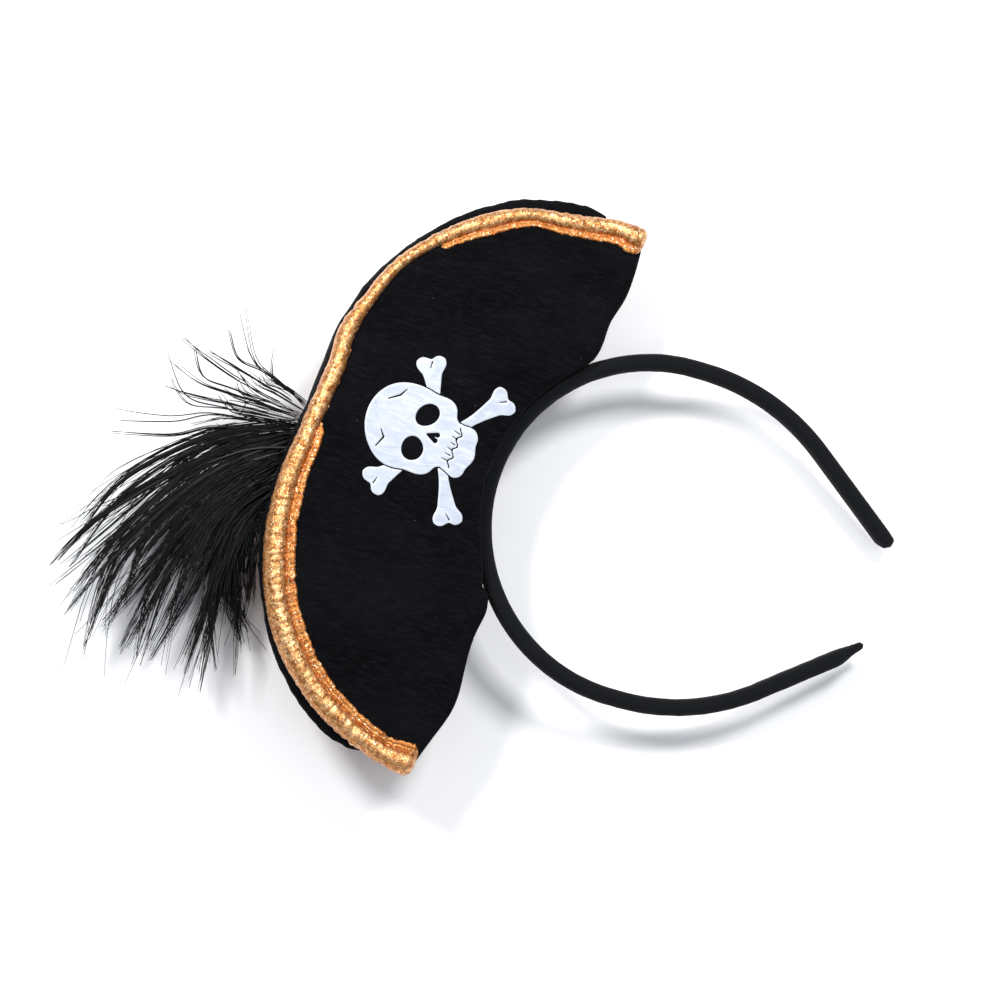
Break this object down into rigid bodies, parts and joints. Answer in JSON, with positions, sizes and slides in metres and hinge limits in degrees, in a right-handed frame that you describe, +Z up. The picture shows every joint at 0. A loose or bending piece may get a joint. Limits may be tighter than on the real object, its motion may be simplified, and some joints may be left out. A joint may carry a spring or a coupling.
{
  "type": "pirate hat",
  "caption": "Small velvet bicorne pirate hat with rolled gold trim, printed skull and crossed bones, and a feather plume, fixed to a springy covered headband.",
  "frame": {"origin": "top of the wearer's head: the inner face of the headband at its crown, in the middle of its width", "axes": "+Z up as worn; the skull faces -Y; +X is the wearer's left"},
  "size_m": [0.2218, 0.0526, 0.2872],
  "materials": {
    "velvet": "short-pile black velvet with a soft sheen",
    "band_fabric": "fine ribbed black knit, matt",
    "band_plastic": "plain moulded strip",
    "glue": "set hot-melt glue",
    "felt": "stiff black felt",
    "batting": "loose polyester fibre",
    "foam": "soft sheet foam",
    "lining": "plain woven black lining",
    "gold_lame": "crinkled metallic copper-gold cloth",
    "print_film": "satin heat-transfer film",
    "thread": "black sewing thread",
    "quill": "dyed feather shaft, satin",
    "feather": "dyed black feather barbs, soft gloss"
  },
  "bodies": {
    "left_arm": {"band_core_left": "band_plastic", "band_sleeve_left": "band_fabric", "tip_cap_left": "band_fabric"},
    "right_arm": {"band_core_right": "band_plastic", "band_sleeve_right": "band_fabric", "tip_cap_right": "band_fabric"},
    "plume": {"plume_thread_wrap": "thread", "plume_stem": "quill", "plume_thread_knot": "thread", "plume_quills": "quill", "plume_feather_1": "feather", "plume_feather_2": "feather", "plume_feather_3": "feather", "plume_feather_4": "feather", "plume_feather_5": "feather"},
    "hat": {"band_core_crown": "band_plastic", "band_sleeve_crown": "band_fabric", "glue_bead": "glue", "base_felt": "felt", "crown_front_panel": "velvet", "crown_back_panel": "velvet", "crown_stuffing": "batting", "brim_front_face": "velvet", "brim_front_foam": "foam", "brim_front_lining": "lining", "brim_back_face": "velvet", "brim_back_foam": "foam", "brim_back_lining": "lining", "trim_front": "gold_lame", "trim_front_batting": "batting", "trim_back": "gold_lame", "trim_back_batting": "batting", "seam_tape_front": "lining", "seam_tape_back": "lining", "tip_tack_left": "thread", "tip_tack_right": "thread", "skull_print": "print_film", "crossbones_print": "print_film", "plume_patch": "felt", "plume_stitch": "thread"}
  },
  "joints": [
    {"name": "left_arm_flex", "type": "hinge", "parent": "hat", "child": "left_arm", "pos_m": [0.04249, 0, -0.01381], "axis": [0, -1, 0], "range_deg": [-2, 12], "stiffness_Nm_per_rad": 1.5},
    {"name": "right_arm_flex", "type": "hinge", "parent": "hat", "child": "right_arm", "pos_m": [-0.04249, 0, -0.01381], "axis": [0, 1, 0], "range_deg": [-2, 12], "stiffness_Nm_per_rad": 1.5},
    {"name": "plume_sway", "type": "hinge", "parent": "hat", "child": "plume", "pos_m": [-0.008, 0.0252, 0.044], "axis": [0, 1, 0], "range_deg": [-6, 6], "stiffness_Nm_per_rad": 0.5}
  ]
}
